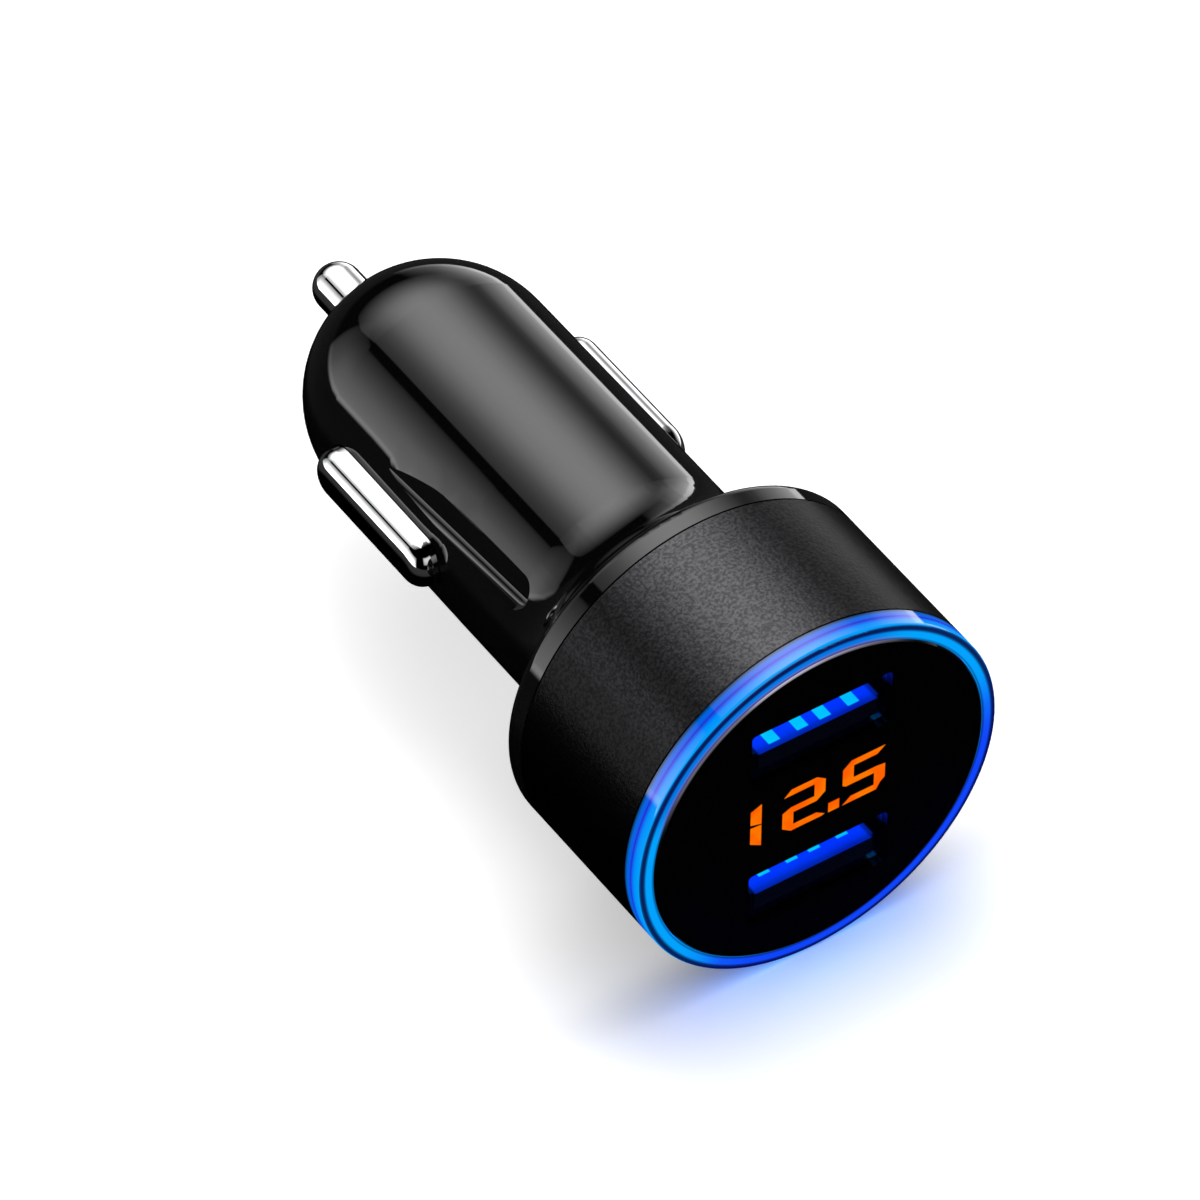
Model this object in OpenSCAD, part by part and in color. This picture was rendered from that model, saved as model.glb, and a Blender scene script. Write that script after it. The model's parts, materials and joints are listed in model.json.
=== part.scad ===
// Twin USB charger for a 12 V car socket, with a voltmeter and a lit ring round its face.
// It is drawn along its own axis: z runs from the end of the nose pin to the face,
// x is the width of the face and y is up for someone who reads the display.
// place() then lays that axis level, with the face towards -Y and the origin where
// the neck meets the barrel, which is where the plug stops in its socket.

/* [Head] */
// Outer diameter of the head
head_d = 31.8; // [30.8:0.1:36]
// Length of the metal sleeve
sleeve_l = 13.75; // [12:0.25:20]
// Wall of the metal sleeve
sleeve_wall = 1; // [0.7:0.05:1.1]
// Bevel on both outer edges of the sleeve
sleeve_bevel = 0.15; // [0.05:0.05:0.3]
// Length of the glossy band behind the sleeve
band_l = 2.2; // [1.6:0.1:3]
// Radius of the band's rounded back edge
band_round = 0.9; // [0.4:0.1:1.2]
// Wall of the spigot that carries the sleeve
spigot_wall = 1.25; // [1.1:0.05:1.5]
// Depth by which the spigot ends below the sleeve
spigot_drop = 1.15; // [0.8:0.05:1.6]

/* [Light ring] */
// Length of the light ring that shows
ring_l = 1.85; // [1.2:0.05:3]
// Radial width of the ring in front, from its edge to the face panel
ring_w = 1.25; // [0.9:0.05:1.6]
// Rounding of the ring's front edge
ring_round = 0.3; // [0.1:0.05:0.5]
// Wall of the skirt that carries light up from the lamps
skirt_wall = 0.65; // [0.5:0.05:0.8]
// Side of one lamp along the rim
lamp_l = 1.6; // [1:0.1:2.4]
// Side of one lamp across the rim
lamp_w = 0.8; // [0.5:0.1:0.8]
// Height of one lamp
lamp_h = 0.6; // [0.3:0.1:0.8]
// Number of lamps under the ring
lamp_count = 12; // [6:1:16]

/* [Face panel] */
// Thickness of the face panel
panel_t = 1.6; // [1.3:0.1:2.4]
// Height by which the panel stands in front of the ring
panel_proud = 0.1; // [0:0.05:0.3]
// Bevel on the panel's rim
panel_bevel = 0.12; // [0.05:0.01:0.2]
// Thickness of the panel's lip in front of each socket
panel_lip = 0.7; // [0.5:0.05:0.9]
// Width by which the panel covers each end of a socket's mouth
port_cover = 0.05; // [0:0.01:0.15]
// Height by which each opening is wider than the socket's mouth, above and below
port_relief = 0.09; // [-0.1:0.01:0.12]
// Corner radius of each opening
port_round = 0.35; // [0.1:0.05:0.8]
// Room between the corners of a socket shell and the ring's skirt
port_edge = 0.85; // [0.5:0.05:1.2]

/* [USB sockets] */
// Width inside the socket shell
shell_in_w = 12.5; // [12.4:0.05:12.6]
// Height inside the socket shell
shell_in_h = 5.12; // [5:0.02:5.2]
// Sheet thickness of the socket shell
shell_t = 0.3; // [0.2:0.05:0.4]
// Bend radius at the corners of the socket shell
shell_bend = 0.6; // [0.4:0.1:0.9]
// Room on each side of the tongue inside the shell
tongue_side = 0.7; // [0.5:0.05:1]
// Thickness of the tongue
tongue_t = 1.84; // [1.6:0.02:2]
// Height of the tongue above the floor of the shell
tongue_lift = 0.65; // [0.5:0.05:0.8]
// Depth of the tongue's front edge behind the panel
tongue_set = 0.5; // [0.3:0.1:1.5]
// Thickness of the moulded block behind the tongue
block_t = 3; // [2:0.25:4]
// Width of one contact strip
pad_w = 1; // [0.7:0.05:1.1]
// Thickness of one contact strip
pad_t = 0.2; // [0.15:0.05:0.3]
// Depth of the upper strips behind the tongue's front edge
pad_set_upper = 0.5; // [0.2:0.1:2]
// Depth of the lower strips behind the tongue's front edge
pad_set_lower = 1.3; // [0.2:0.1:2]
// Distance from the middle to the inner pair of strips
pad_inner = 1; // [0.8:0.05:1.2]
// Distance from the middle to the outer pair of strips
pad_outer = 3.5; // [3.2:0.05:3.8]

/* [Display] */
// Width of one numeral
digit_w = 3.8; // [3:0.1:4.2]
// Height of one numeral
digit_h = 4.36; // [3.6:0.02:4.6]
// Thickness of an upright stroke
stroke_up = 0.98; // [0.6:0.02:1.1]
// Thickness of a level stroke
stroke_level = 0.62; // [0.4:0.02:0.8]
// Length of the bevel where two strokes meet
stroke_bevel = 0.76; // [0.3:0.02:0.9]
// Place of the first numeral's left edge
digit_1_x = -6.17; // [-6.4:0.01:-5.8]
// Place of the second numeral's left edge
digit_2_x = -3.32; // [-3.6:0.01:-3]
// Place of the point's left edge
point_x = 0.78; // [0.7:0.01:0.9]
// Place of the third numeral's left edge
digit_3_x = 2.02; // [1.9:0.01:2.2]
// Height of the numerals' middle above the middle of the face
digits_y = 0.4; // [0:0.05:0.5]
// Width of the display block
display_w = 15; // [13:0.25:17]
// Room between the display block and each socket shell
display_gap = 0.34; // [0.2:0.02:0.6]
// Depth of the display block
display_l = 5.5; // [4:0.25:7]
// Diameter of a display pin
pin_d = 0.5; // [0.4:0.05:0.6]
// Pitch of the display pins
pin_pitch = 2.54; // [2:0.01:2.7]

/* [Neck and barrel] */
// Diameter of the barrel where it seats in a 12 V socket
barrel_d = 21; // [20.9:0.01:21.1]
// Length of the seating land next to the neck
land_l = 7.5; // [7:0.25:9]
// Length of the contact zone in front of the land
zone_l = 17.5; // [17:0.25:20]
// Diameter of the nose, after the moulding draft
nose_d = 20.84; // [20.6:0.02:20.9]
// Length of the neck
neck_l = 7.8; // [7:0.1:10]
// Diameter of the bore inside the barrel
bore_d = 16.4; // [16.2:0.05:16.6]

/* [Nose pin] */
// Diameter of the pin
tip_d = 4.1; // [3:0.1:5]
// Length by which the pin stands out of the nose
tip_out = 5.7; // [4:0.1:7]
// Travel of the pin
tip_travel = 3; // [1:0.25:3.5]
// Diameter of the pin's flange
flange_d = 6.4; // [5.6:0.1:7]
// Thickness of the pin's flange
flange_t = 1; // [0.6:0.1:1.5]
// Height of the nose wall along the axis, with its inner boss
boss_l = 3.4; // [3:0.1:4]
// Length that the pin spring keeps in hand when the pin is pressed home
tip_spare = 1.2; // [0.6:0.1:1.4]
// Mean diameter of the pin spring
tip_spring_d = 3.8; // [3.4:0.1:4.2]
// Wire of the pin spring
tip_wire = 0.5; // [0.3:0.05:0.6]
// Turns of the pin spring
tip_turns = 6.5; // [5:0.5:7]

/* [Side contacts] */
// Length of a side contact
bar_l = 15; // [12:0.25:15.5]
// Height of a side contact
bar_h = 4.2; // [3:0.1:4.6]
// Height of a side contact over the barrel, which is also its travel
bar_out = 1.9; // [1:0.1:2]
// Rounding of a side contact's outer edges
bar_round = 1.5; // [0.8:0.1:1.9]
// Start of a side contact behind the middle of the nose
bar_start = 0.95; // [0.8:0.05:2]
// Thickness of a side contact's inner flange
bar_flange_t = 0.8; // [0.5:0.1:1]
// Margin of the inner flange round the contact
bar_flange_w = 0.85; // [0.5:0.05:0.9]
// Distance from the wall of the bore to the inner flange, at mid height
bar_set = 0.7; // [0.6:0.05:1]
// Running clearance round a contact in its slot
slot_clear = 0.1; // [0.05:0.01:0.2]
// Direction in which the groove is cut, up from the side contact
groove_turn = 15; // [10:1:20]
// Distance from the groove's middle to the plane through the axis in that direction
groove_side = 2.27; // [2:0.01:2.5]
// Width of the groove
groove_w = 2.84; // [2.4:0.02:3]
// Radius of the edges of the groove's floor
groove_round = 0.65; // [0.3:0.05:1]
// Depth of the groove at its head end
groove_depth = 1.36; // [1:0.02:1.5]
// Slope by which the groove's floor runs out towards the nose
groove_slope = 3.85; // [3.6:0.05:5]
// Length by which the groove runs into the neck
groove_end = 0.9; // [0:0.1:2]
// Length that the side springs keep in hand when a contact is pressed flush
side_spare = 0.54; // [0.3:0.02:0.7]
// Mean diameter of a side spring
side_spring_d = 3; // [2.4:0.1:3.4]
// Wire of a side spring
side_wire = 0.28; // [0.2:0.02:0.32]
// Turns of a side spring
side_turns = 4; // [3:0.5:5]
// Distance between the two springs of one contact
side_spring_gap = 7; // [5:0.25:8]
// Diameter of the peg that centres a side spring
peg_d = 1.8; // [1.2:0.1:2]
// Length of that peg
peg_l = 0.8; // [0.4:0.1:1]

/* [Circuit boards] */
// Height of the front board above the back end of the sleeve
front_board_rise = 0.8; // [0.5:0.1:1]
// Thickness of the front board
front_board_t = 1.6; // [1:0.1:2]
// Width of the ledge under the front board
front_ledge = 1.1; // [0.8:0.1:1.4]
// Thickness of the main board
main_board_t = 1.2; // [0.8:0.1:1.6]
// Room between each lower edge of the main board and the bore
main_board_edge = 0.17; // [0.1:0.01:0.4]
// Height of the main board's upper face above the bottom of the bore
main_board_rise = 4; // [3.9:0.05:4.2]
// Width of one solder tab of the main board
tab_w = 3; // [2:0.25:4]
// Distance from the middle to each solder tab
tab_x = 4; // [3:0.25:4.2]
// Thickness of the terminal and ground strips
strip_t = 0.5; // [0.3:0.05:0.6]

/* [Power parts] */
// Diameter of the choke
choke_d = 8; // [6:0.25:8]
// Height of the choke
choke_h = 7; // [4:0.25:8]
// Thickness of the choke's flanges
choke_flange = 1; // [0.6:0.1:1.4]
// Diameter of each capacitor
cap_d = 6.3; // [5:0.1:6.3]
// Length of each capacitor
cap_l = 7.7; // [5:0.1:8]
// Length of the converter chip
chip_l = 4.9; // [3:0.1:6]
// Width of the converter chip
chip_w = 3.9; // [2:0.1:4]
// Height of the parts under the main board
chip_h = 1.4; // [0.8:0.05:1.5]

/* [Hidden] */
$fn = 96;

// Clearance between pieces that are pushed together by hand
push_fit = 0.05;
// Small overlap that keeps a cut from ending on the face that it cuts
over = 0.01;
// Length by which a cut runs past each face of the piece that it goes through
past = 1;
// Length of one closed turn of a spring, as a multiple of its wire
closed_turn = 1.04;
// Room between a part on the main board and its neighbour
part_gap = 0.5;
// Segments of a spring's wire: round the wire, and along one turn
coil_sides = 8;
coil_steps = 18;

// Places along the axis, stacked up from the end of the pin
nose_r = nose_d / 2;
nose_z = tip_out + nose_r;
land_z = nose_z + zone_l;
neck_z = land_z + land_l;
band_z = neck_z + neck_l;
sleeve_z = band_z + band_l;
ring_z = sleeve_z + sleeve_l;
lip_z = ring_z + ring_l;
face_z = lip_z + panel_proud;
panel_z = face_z - panel_t;

// Radii of the barrel, the neck and the head
barrel_r = barrel_d / 2;
bore_r = bore_d / 2;
head_r = head_d / 2;
neck_r = head_r - band_round;
neck_rise = neck_r - barrel_r;
neck_fillet = (neck_rise * neck_rise + neck_l * neck_l) / (2 * neck_rise);
spigot_r = head_r - sleeve_wall - push_fit;
spigot_in_r = spigot_r - spigot_wall;
spigot_z = ring_z - spigot_drop;
panel_r = head_r - ring_w - push_fit;
skirt_r = spigot_in_r - push_fit;
skirt_in_r = skirt_r - skirt_wall;

// The two boards: the front one rests on a ledge, the main one stands behind it
front_board_r = spigot_in_r - push_fit;
front_board_z = sleeve_z + front_board_rise;
front_board_top = front_board_z + front_board_t;
ledge_r = spigot_in_r - front_ledge;
main_board_top = main_board_rise - bore_r;
main_board_low = main_board_top - main_board_t;
main_board_w = 2 * (sqrt(bore_r * bore_r - main_board_low * main_board_low) - main_board_edge);
lamp_gap = 0.4;
lamp_out_r = front_board_r - push_fit;
lamp_r = sqrt(lamp_out_r * lamp_out_r - lamp_l * lamp_l / 4) - lamp_w / 2;
tab_set = 0.2;

// The nose pin and what stands behind it
tip_r = tip_d / 2;
boss_z = tip_out + boss_l;
tip_hole_r = tip_r + slot_clear;
tip_spring_l = tip_travel + tip_turns * tip_wire * closed_turn + tip_spare;
terminal_z = boss_z + flange_t + tip_spring_l;
main_board_z = terminal_z - 0.3;
stem_gap = 0.35;
stem_r = tip_spring_d / 2 - tip_wire / 2 - stem_gap;
stem_l = 2;

// Side contacts, their slots and their springs
bar_z0 = nose_z + bar_start;
bar_z1 = bar_z0 + bar_l;
bar_mid_z = (bar_z0 + bar_z1) / 2;
bar_seat = bore_r - bar_set;
bar_flat = bar_h / 2 - bar_round;
bar_reach = sqrt(barrel_r * barrel_r - bar_flat * bar_flat) + bar_out;
groove_l = 21;
side_spring_l = bar_out + side_turns * side_wire * closed_turn + side_spare;
frame_x = bar_seat - bar_flange_t - side_spring_l;
frame_h = 2.6;
frame_margin = 0.6;
frame_gap = 0.5;
frame_reach = (side_spring_gap + side_spring_d) / 2 + frame_margin;
frame_low_z = bar_mid_z - frame_reach;
frame_high_z = bar_mid_z + frame_reach;
rail_gap = 1.2;
rail_z0 = bar_z1 + bar_flange_w + rail_gap;
rail_h = 0.75;
rail_grip = 0.8;
rail_root = bore_r + 0.5;

// Sockets
shell_z1 = face_z - panel_lip - push_fit;
shell_w = shell_in_w + 2 * shell_t;
shell_h = shell_in_h + 2 * shell_t;
port_y = sqrt(skirt_in_r * skirt_in_r - shell_w * shell_w / 4) - port_edge - shell_h / 2;
port_w = shell_in_w - 2 * port_cover;
port_h = shell_in_h + 2 * port_relief;
tongue_w = shell_in_w - 2 * tongue_side;
display_h = 2 * port_y - shell_h - 2 * display_gap;
tongue_z1 = face_z - tongue_set;
pad_xs = [-pad_outer, -pad_inner, pad_inner, pad_outer];
shell_leg_w = 1.5;
leg_through = 0.5;
display_pin_xs = [-2 * pin_pitch, -pin_pitch, 0, pin_pitch, 2 * pin_pitch];
pin_inset = 0.9;
display_pin_y = display_h / 2 - pin_inset;
display_z = panel_z - push_fit - display_l;

// Parts under the main board
choke_z = rail_z0 + choke_d / 2 + part_gap;
choke_core_r = choke_d * 0.3;
cap_gap = 0.3;
cap_leg_out = 0.4;
cap_z0 = choke_z + choke_d / 2 + part_gap + cap_leg_out;

// Lays the axis level, with the origin where the neck meets the barrel
module place() {
    rotate([90, 0, 0])
        translate([0, 0, -neck_z])
            children();
}

// A block between two corners
module block(low, high) {
    translate(low) cube(high - low);
}

// Extrudes an outline in y and z sideways, between two distances from the axis
module sideways(x0, x1) {
    translate([x0, 0, 0])
        rotate([90, 0, 90])
            linear_extrude(x1 - x0)
                children();
}

// An obround along z, as an outline in y and z
module obround(half, z0, z1) {
    translate([0, z0 + half]) circle(r = half);
    translate([0, z1 - half]) circle(r = half);
    translate([-half, z0 + half]) square([2 * half, z1 - z0 - 2 * half]);
}

// Half section of a bar: half its width, its height and the rounding of its upper edge
module bar_section(half, high, r) {
    square([half, high - r]);
    square([half - r, high]);
    intersection() {
        translate([half - r, high - r]) circle(r = r);
        square([half, high]);
    }
}

// A bar along z that stands out from x0 to x1, with round ends and round outer edges
module round_bar(half, z0, z1, x0, x1, r) {
    for (z = [z0 + half, z1 - half])
        translate([x0, 0, z])
            rotate([0, 90, 0])
                rotate_extrude() bar_section(half, x1 - x0, r);
    translate([x0, 0, z0 + half])
        linear_extrude(z1 - z0 - 2 * half) {
            rotate(-90) bar_section(half, x1 - x0, r);
            rotate(-90) mirror([1, 0]) bar_section(half, x1 - x0, r);
        }
}

// A rectangle with round corners, centred
module round_rect(w, h, r) {
    square([w - 2 * r, h], center = true);
    square([w, h - 2 * r], center = true);
    for (sx = [-1, 1], sy = [-1, 1])
        translate([sx * (w / 2 - r), sy * (h / 2 - r)]) circle(r = r);
}

// A compression spring with closed ends, wound up from z = 0
function coil_rise(t, turns, long, wire) =
    let (dead = 0.75, rest = wire * closed_turn)
    t < dead ? wire / 2 + rest * t
    : t > turns - dead ? long - wire / 2 - rest * (turns - t)
    : wire / 2 + rest * dead
        + (long - wire - 2 * rest * dead) * (t - dead) / (turns - 2 * dead);

module coil_spring(mean_d, wire, long, turns) {
    steps = round(turns * coil_steps);
    rings = [
        for (i = [0 : steps], k = [0 : coil_sides - 1])
            let (
                t = turns * i / steps,
                side = 360 * k / coil_sides,
                r = mean_d / 2 + wire / 2 * cos(side)
            )
            [
                r * cos(360 * t),
                r * sin(360 * t),
                coil_rise(t, turns, long, wire) + wire / 2 * sin(side)
            ]
    ];
    walls = [
        for (i = [0 : steps - 1], k = [0 : coil_sides - 1])
            let (a = i * coil_sides, b = a + coil_sides, n = (k + 1) % coil_sides)
            [a + k, a + n, b + n, b + k]
    ];
    first = [for (k = [coil_sides - 1 : -1 : 0]) k];
    last = [for (k = [0 : coil_sides - 1]) steps * coil_sides + k];
    polyhedron(rings, concat([first], walls, [last]));
}

// Half section of the housing's outside, from the nose to the spigot
module housing_outline() {
    intersection() {
        translate([0, nose_z]) circle(r = nose_r);
        translate([0, nose_z - nose_r]) square([nose_r, nose_r]);
    }
    polygon([
        [0, nose_z - over], [nose_r, nose_z], [barrel_r, land_z],
        [barrel_r, neck_z], [0, neck_z]
    ]);
    difference() {
        translate([0, neck_z - over]) square([neck_r, neck_l + over]);
        translate([barrel_r + neck_fillet, neck_z]) circle(r = neck_fillet);
        translate([barrel_r, neck_z - past]) square([neck_r, past]);
    }
    translate([0, band_z]) square([head_r - band_round, band_l]);
    translate([0, band_z + band_round]) square([head_r, band_l - band_round]);
    translate([head_r - band_round, band_z + band_round]) circle(r = band_round);
    translate([0, sleeve_z - over]) square([spigot_r, spigot_z - sleeve_z + over]);
}

// Half section of the hollow inside the housing
module housing_hollow() {
    bore_over = 2;
    widen_z = neck_z + bore_over;
    ledge_z = sleeve_z - front_board_rise;
    intersection() {
        translate([0, nose_z]) circle(r = bore_r);
        translate([0, boss_z]) square([bore_r, nose_z - boss_z]);
    }
    polygon([
        [0, nose_z - over], [bore_r, nose_z], [bore_r, widen_z],
        [ledge_r, ledge_z], [ledge_r, front_board_z + over],
        [0, front_board_z + over]
    ]);
    translate([0, front_board_z]) square([spigot_in_r, spigot_z - front_board_z + over]);
}

// Slot that a side contact moves in
module contact_slot() {
    sideways(bar_seat - bar_flange_t, barrel_r + past)
        obround(bar_h / 2 + slot_clear, bar_z0 - slot_clear, bar_z1 + slot_clear);
}

// Cutter for the groove beside a contact, leaning outwards towards the nose
module contact_groove() {
    cut_l = 4;
    rotate([0, 0, -groove_turn])
        translate([barrel_r - groove_depth, -groove_side, neck_z + groove_end])
            rotate([0, -groove_slope, 0])
                translate([cut_l, 0, 0])
                    mirror([1, 0, 0])
                        round_bar(groove_w / 2, -groove_l, 0, 0, cut_l, groove_round);
}

// Ledges that hold one edge of the main board
module board_rails() {
    inner_x = main_board_w / 2 - rail_grip;
    intersection() {
        union() {
            block([inner_x, main_board_low - push_fit - rail_h, rail_z0],
                  [rail_root, main_board_low - push_fit, neck_z]);
            block([inner_x, main_board_top + push_fit, rail_z0],
                  [rail_root, main_board_top + push_fit + rail_h, neck_z]);
        }
        cylinder(r = rail_root, h = neck_z);
    }
}

module plug_housing() {
    color("#141416") {
        difference() {
            rotate_extrude()
                difference() {
                    housing_outline();
                    housing_hollow();
                }
            translate([0, 0, -over]) cylinder(r = tip_hole_r, h = boss_z + past);
            for (turn = [0, 180])
                rotate([0, 0, turn]) {
                    contact_slot();
                    contact_groove();
                }
        }
        board_rails();
        mirror([1, 0, 0]) board_rails();
    }
}

module head_sleeve() {
    color("#2e2e30")
        rotate_extrude()
            polygon([
                [head_r - sleeve_wall, sleeve_z],
                [head_r - sleeve_bevel, sleeve_z],
                [head_r, sleeve_z + sleeve_bevel],
                [head_r, ring_z - sleeve_bevel],
                [head_r - sleeve_bevel, ring_z],
                [head_r - sleeve_wall, ring_z]
            ]);
}

// The ring's half section: a flange in front, a seat for the panel and a long skirt
module light_ring() {
    skirt_z = front_board_top + lamp_h + lamp_gap;
    color("#1e78ff")
        rotate_extrude() {
            translate([skirt_in_r, skirt_z]) square([skirt_wall, panel_z - skirt_z]);
            translate([skirt_in_r, spigot_z])
                square([head_r - sleeve_wall - push_fit - skirt_in_r, panel_z - spigot_z]);
            translate([head_r - ring_w, ring_z]) square([ring_w - ring_round, ring_l]);
            translate([head_r - ring_w, ring_z]) square([ring_w, ring_l - ring_round]);
            translate([head_r - ring_round, lip_z - ring_round]) circle(r = ring_round);
        }
}

// Outline of the numeral one: two strokes with slanted ends
module numeral_one() {
    mid = digit_h / 2;
    slant = digit_h / 22;
    polygon([
        [0, digit_h - 2 * slant], [stroke_up, digit_h],
        [stroke_up, mid + slant / 2], [0, mid + 2 * slant]
    ]);
    polygon([
        [0, mid + slant / 2], [stroke_up, mid],
        [stroke_up, 0], [0, 3 * slant]
    ]);
}

// Outline of the numeral two, as one bent stroke with pointed ends
module numeral_two() {
    w = digit_w;
    h = digit_h;
    nib = 0.1;
    shoulder = stroke_bevel * 0.75;
    low = (h - stroke_level) / 2;
    high = (h + stroke_level) / 2;
    polygon([
        [nib, h - stroke_level], [stroke_bevel, h], [w - stroke_bevel, h],
        [w, h - shoulder], [w, high], [w - stroke_bevel, low],
        [stroke_up, low], [stroke_up, stroke_level], [w - stroke_bevel, stroke_level],
        [w, nib], [w - 3 * nib, 0], [stroke_bevel, 0],
        [0, shoulder], [0, low + 3 * nib], [stroke_bevel, high],
        [w - stroke_up, high], [w - stroke_up, h - stroke_level]
    ]);
}

// Outline of the numeral five, as one bent stroke with pointed ends
module numeral_five() {
    w = digit_w;
    h = digit_h;
    nib = 0.1;
    shoulder = stroke_bevel * 0.85;
    low = (h - stroke_level) / 2;
    high = (h + stroke_level) / 2;
    polygon([
        [stroke_bevel, h], [w, h], [w - stroke_bevel, h - stroke_level],
        [stroke_up, h - stroke_level], [stroke_up, high], [w - stroke_bevel, high],
        [w, high - nib], [w, stroke_bevel + 2 * nib], [w - 4 * nib, stroke_level],
        [w - stroke_bevel, 0], [0, 0], [stroke_bevel, stroke_level],
        [w - stroke_up, stroke_level], [w - stroke_up, low],
        [3 * nib, low], [0, low + 2 * nib], [0, h - shoulder]
    ]);
}

// Everything on the display that glows, as flat outlines
module glowing_outlines() {
    base = digits_y - digit_h / 2;
    translate([digit_1_x, base]) numeral_one();
    translate([digit_2_x, base]) numeral_two();
    translate([point_x, base]) square(stroke_up);
    translate([digit_3_x, base]) numeral_five();
}

// Puts children at the upper and the lower port
module at_port(side) {
    translate([0, side * port_y, 0]) children();
}

module face_panel() {
    color("#050506")
        difference() {
            rotate_extrude()
                polygon([
                    [0, panel_z], [panel_r, panel_z], [panel_r, face_z - panel_bevel],
                    [panel_r - panel_bevel, face_z], [0, face_z]
                ]);
            for (side = [-1, 1])
                at_port(side) {
                    translate([0, 0, panel_z - over])
                        linear_extrude(panel_t + 2 * over)
                            round_rect(port_w, port_h, port_round);
                    translate([0, 0, panel_z - over])
                        linear_extrude(shell_z1 + push_fit - panel_z + over)
                            round_rect(shell_w + 2 * push_fit, shell_h + 2 * push_fit,
                                       shell_bend + shell_t);
                }
            translate([0, 0, panel_z - over])
                linear_extrude(panel_t + 2 * over)
                    glowing_outlines();
        }
}

module display_segments() {
    color("#ff6400")
        translate([0, 0, panel_z])
            linear_extrude(panel_t)
                glowing_outlines();
}

module display_module() {
    color("#3a3c40")
        block([-display_w / 2, -display_h / 2, display_z],
              [display_w / 2, display_h / 2, display_z + display_l]);
}

module display_pins() {
    color("silver")
        for (x = display_pin_xs, side = [-1, 1])
            translate([x, side * display_pin_y, front_board_z - leg_through])
                cylinder(d = pin_d, h = display_z - front_board_z + leg_through);
}

// Two folded legs on each side of a socket shell, solid or with room round them
module shell_legs(clear) {
    for (sx = [-1, 1], z_side = [-1, 1])
        translate([sx * (shell_w / 2 - shell_t / 2), z_side * shell_h / 4, 0])
            block([-shell_t / 2 - clear, -shell_leg_w / 2 - clear,
                   front_board_z - leg_through],
                  [shell_t / 2 + clear, shell_leg_w / 2 + clear,
                   front_board_top + over]);
}

module front_board() {
    color("#1d3a2a")
        difference() {
            translate([0, 0, front_board_z])
                cylinder(r = front_board_r, h = front_board_t);
            for (side = [-1, 1])
                at_port(side) {
                    shell_legs(push_fit);
                    for (x = pad_xs)
                        block([x - pad_w / 2 - push_fit, pad_low() - push_fit,
                               front_board_z - past],
                              [x + pad_w / 2 + push_fit, pad_low() + pad_t + push_fit,
                               front_board_top + past]);
                }
            for (x = display_pin_xs, side = [-1, 1])
                translate([x, side * display_pin_y, front_board_z - past])
                    cylinder(d = pin_d + 2 * push_fit, h = front_board_t + 2 * past);
            for (sx = [-1, 1])
                block([sx * tab_x - tab_w / 2 - push_fit, main_board_low - push_fit,
                       front_board_z - past],
                      [sx * tab_x + tab_w / 2 + push_fit, main_board_top + push_fit,
                       front_board_top + past]);
        }
}

module ring_lamps() {
    color("#d8e8ff")
        for (i = [0 : lamp_count - 1])
            rotate([0, 0, 360 * (i + 0.5) / lamp_count])
                translate([lamp_r - lamp_w / 2, -lamp_l / 2, front_board_top])
                    cube([lamp_w, lamp_l, lamp_h]);
}

// Height of the underside of the contact strips, from the middle of a port
function pad_low() = tongue_lift + tongue_t - shell_in_h / 2 - pad_t;

// U-shaped cut that frees one spring finger in the socket shell's flat side
module finger_cut(finger_l) {
    finger_w = 1.8;
    gap = 0.35;
    difference() {
        square([finger_w + 2 * gap, finger_l], center = true);
        translate([0, -gap]) square([finger_w, finger_l], center = true);
    }
}

// A socket shell folded from sheet, with four fingers that grip the plug
module socket_shell() {
    finger_l = 5;
    finger_z = shell_z1 - finger_l;
    finger_x = shell_in_w / 4;
    color("#c8ccd0") {
        difference() {
            translate([0, 0, front_board_top])
                linear_extrude(shell_z1 - front_board_top)
                    round_rect(shell_w, shell_h, shell_bend + shell_t);
            translate([0, 0, front_board_top - over])
                linear_extrude(shell_z1 - front_board_top + 2 * over)
                    round_rect(shell_in_w, shell_in_h, shell_bend);
            for (sx = [-1, 1])
                translate([sx * finger_x, shell_h, finger_z])
                    rotate([90, 0, 0])
                        linear_extrude(2 * shell_h)
                            finger_cut(finger_l);
        }
        difference() {
            shell_legs(0);
            translate([0, 0, front_board_top])
                linear_extrude(past)
                    square([2 * shell_w, 2 * shell_h], center = true);
        }
    }
}

// The moulded insulator: a block at the back and the tongue with its four grooves
module socket_tongue(pad_set) {
    block_z = front_board_top;
    tongue_y = tongue_lift - shell_in_h / 2;
    tip_chamfer = 0.25;
    color("#0a3cff")
        difference() {
            union() {
                translate([0, 0, block_z])
                    linear_extrude(block_t)
                        round_rect(shell_in_w - 2 * push_fit, shell_in_h - 2 * push_fit,
                                   shell_bend - push_fit);
                block([-tongue_w / 2, tongue_y, block_z + block_t - over],
                      [tongue_w / 2, tongue_y + tongue_t, tongue_z1 - tip_chamfer]);
                block([-tongue_w / 2 + tip_chamfer, tongue_y + tip_chamfer,
                       tongue_z1 - tip_chamfer - over],
                      [tongue_w / 2 - tip_chamfer, tongue_y + tongue_t, tongue_z1]);
            }
            socket_strips(pad_set);
        }
}

// The four contact strips of one socket, down through the front board
module socket_strips(pad_set) {
    for (x = pad_xs)
        block([x - pad_w / 2, pad_low(), front_board_z - leg_through],
              [x + pad_w / 2, pad_low() + pad_t, tongue_z1 - pad_set]);
}

module usb_shell_upper() {
    at_port(1) socket_shell();
}

module usb_shell_lower() {
    at_port(-1) socket_shell();
}

module usb_tongue_upper() {
    at_port(1) socket_tongue(pad_set_upper);
}

module usb_tongue_lower() {
    at_port(-1) socket_tongue(pad_set_lower);
}

module usb_contacts_upper() {
    color("#00beff") at_port(1) socket_strips(pad_set_upper);
}

module usb_contacts_lower() {
    color("#00beff") at_port(-1) socket_strips(pad_set_lower);
}

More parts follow.
